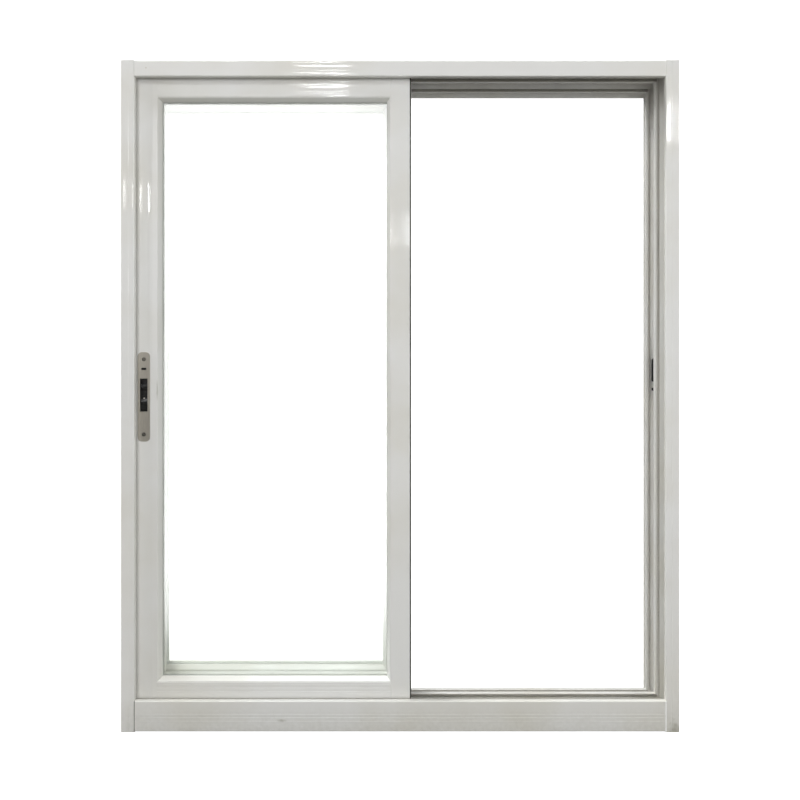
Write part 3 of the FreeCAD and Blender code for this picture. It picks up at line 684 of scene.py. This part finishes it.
for side, strips in seals.items():
    start_clean()
    for number, (template, placing) in enumerate(strips):
        strip = bpy.data.objects.new(f"{side}_brush_{number}", template.data.copy())
        strip.data.transform(placing)
        bpy.context.scene.collection.objects.link(strip)
        strip.select_set(True)
    bpy.context.view_layer.objects.active = strip
    bpy.ops.object.join()
    strip.name = side + "_brush"
    # The head and sill strips take the darker pile, which is painted shade.
    hand_over(strip, shaded_pile if side in ("sill", "head") else pile, "frame")
    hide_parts(side + "_seals")
    strip.data.calc_loop_triangles()
    print(strip.name, len(strip.data.loop_triangles), "triangles", [round(v, 4) for v in strip.dimensions])

for template in {template for strips in seals.values() for template, _ in strips}:
    bpy.data.objects.remove(template)

# %% [markdown]
# A window such as this is shown on pure white. The floor is a plain pale sheet, and the sky is a
# bright even studio wall to the camera. The light that falls on the window is softer than that
# wall looks, or the side away from the camera would burn out. The panes mirror a bright room, which
# washes out what stands behind them, except low down, where they mirror the dim floor at the
# window's foot. The display curve is the plain one, because a filmic curve would turn white grey.

# %% Floor and wall
FLOOR_HALF = 400.0
WALL_SEEN = 1.7
WALL_LIGHT = 0.09
FLOOR_GLOW = 1.7
ROOM_IN_GLASS = 9.0
FLOOR_DIM = (0.35, 0.95)

bpy.context.scene.view_settings.view_transform = "Standard"


def seen_or_seen_through(tree):
    """1 for rays from the camera, also after they pass through the glass, but not for bounced light."""
    path = add(tree, "ShaderNodeLightPath")
    either = add(tree, "ShaderNodeMath", {"operation": "MAXIMUM"},
                 {0: path.outputs["Is Camera Ray"], 1: path.outputs["Is Transmission Ray"]})
    direct = add(tree, "ShaderNodeMath", {"operation": "LESS_THAN", 1: 0.5}, {0: path.outputs["Diffuse Depth"]})
    return add(tree, "ShaderNodeMath", {"operation": "MULTIPLY"},
               {0: either.outputs[0], 1: direct.outputs[0]}).outputs[0]


def mirrored_by_glass(tree):
    """1 for rays that a pane has mirrored, which is a sharp reflection and not a soft gloss."""
    path = add(tree, "ShaderNodeLightPath")
    return add(tree, "ShaderNodeMath", {"operation": "MULTIPLY"},
               {0: path.outputs["Is Reflection Ray"], 1: path.outputs["Is Singular Ray"]}).outputs[0]


def total(tree, *parts):
    """Add up pairs of a socket and the amount that it stands for."""
    amount = None
    for socket, scale in parts:
        part = add(tree, "ShaderNodeMath", {"operation": "MULTIPLY", 1: scale}, {0: socket}).outputs[0]
        amount = part if amount is None else add(tree, "ShaderNodeMath", {"operation": "ADD"},
                                                 {0: amount, 1: part}).outputs[0]
    return amount


start_clean()
bpy.ops.mesh.primitive_plane_add(size=2 * FLOOR_HALF, location=(0, 0, 0))
floor = bpy.context.object
floor.name = "floor"
floor_white, tree = new_material("matt white floor sheet")
spot = add(tree, "ShaderNodeTexCoord").outputs["Object"]
ahead = add(tree, "ShaderNodeMath", {"operation": "ABSOLUTE"},
            {0: add(tree, "ShaderNodeSeparateXYZ", links={0: spot}).outputs["Y"]})
lit = add(tree, "ShaderNodeMapRange", {"From Min": FLOOR_DIM[0], "From Max": FLOOR_DIM[1]},
          {"Value": ahead.outputs[0]})
room = add(tree, "ShaderNodeMath", {"operation": "MULTIPLY"}, {0: lit.outputs[0], 1: mirrored_by_glass(tree)})
glow = total(tree, (seen_or_seen_through(tree), FLOOR_GLOW), (room.outputs[0], ROOM_IN_GLASS))
sheet = add(tree, "ShaderNodeBsdfPrincipled",
            {"Base Color": colour("#6B6A68"), "Roughness": 0.8, "Emission Color": (1, 1, 1, 1)},
            {"Emission Strength": glow})
close(tree, sheet.outputs[0])
floor.data.materials.append(floor_white)

world = bpy.data.worlds.new("studio")
bpy.context.scene.world = world
world.use_nodes = True
tree = world.node_tree
tree.nodes.clear()
wall = total(tree, (seen_or_seen_through(tree), WALL_SEEN - WALL_LIGHT), (mirrored_by_glass(tree), ROOM_IN_GLASS))
strength = add(tree, "ShaderNodeMath", {"operation": "ADD", 1: WALL_LIGHT}, {0: wall})
sky = add(tree, "ShaderNodeBackground", {"Color": (1, 1, 1, 1)}, {"Strength": strength.outputs[0]})
add(tree, "ShaderNodeOutputWorld", links={"Surface": sky.outputs[0]})

# %% [markdown]
# The highlights tell where the lamps stood. The sloped beads are brightest along the bottom and
# the undersides are dark, so the main light is high. Edges that face left are bright and edges
# that face right are dull, so a second light stands at the left.

# %% Soft lamps
CENTRE = Vector((0, 0, 0.6))


def soft_lamp(name, place, size, power, aim=CENTRE):
    """Soft box, as wide and high as the size says, aimed at the window."""
    data = bpy.data.lights.new(name, "AREA")
    data.shape = "RECTANGLE"
    data.size, data.size_y = size
    data.energy = power
    lamp = bpy.data.objects.new(name, data)
    lamp.location = place
    lamp.visible_camera = False
    lamp.rotation_euler = (Vector(aim) - Vector(place)).to_track_quat("-Z", "Y").to_euler()
    bpy.context.scene.collection.objects.link(lamp)
    return lamp


soft_lamp("front left", (-1.45, -3.1, 3.5), (0.7, 0.7), 34)
soft_lamp("front", (-0.85, -3.2, 1.35), (1.2, 1.4), 10.5)
soft_lamp("low front", (0.75, -3.0, 0.35), (1.1, 0.7), 11, aim=(0, 0, 1.1))
soft_lamp("left", (-3.2, -0.5, 1.4), (1.6, 1.6), 45)
soft_lamp("front right", (2.6, -2.3, 1.6), (0.9, 1.2), 30)
soft_lamp("right", (3.2, -0.6, 1.8), (1.6, 1.6), 10)
soft_lamp("overhead", (0.0, -0.7, 8.0), (3.8, 3.8), 250)
soft_lamp("back left", (-2.4, 2.4, 3.4), (1.6, 1.6), 155)
soft_lamp("back right", (2.2, 2.8, 2.6), (1.8, 1.8), 12)
# Four bare bulbs in the room make the streaks of light on the head, jambs and meeting stile.
soft_lamp("bulb over the head", (-0.47, -2.66, 2.15), (0.28, 0.05), 2.0)
soft_lamp("bulb at the left jamb", (-1.508, -2.66, 1.52), (0.05, 0.14), 0.9)
soft_lamp("bulb at the meeting stile", (-0.045, -2.66, 1.34), (0.06, 0.16), 0.9)
soft_lamp("bulb at the right jamb", (1.408, -2.66, 1.92), (0.05, 0.22), 2.0)
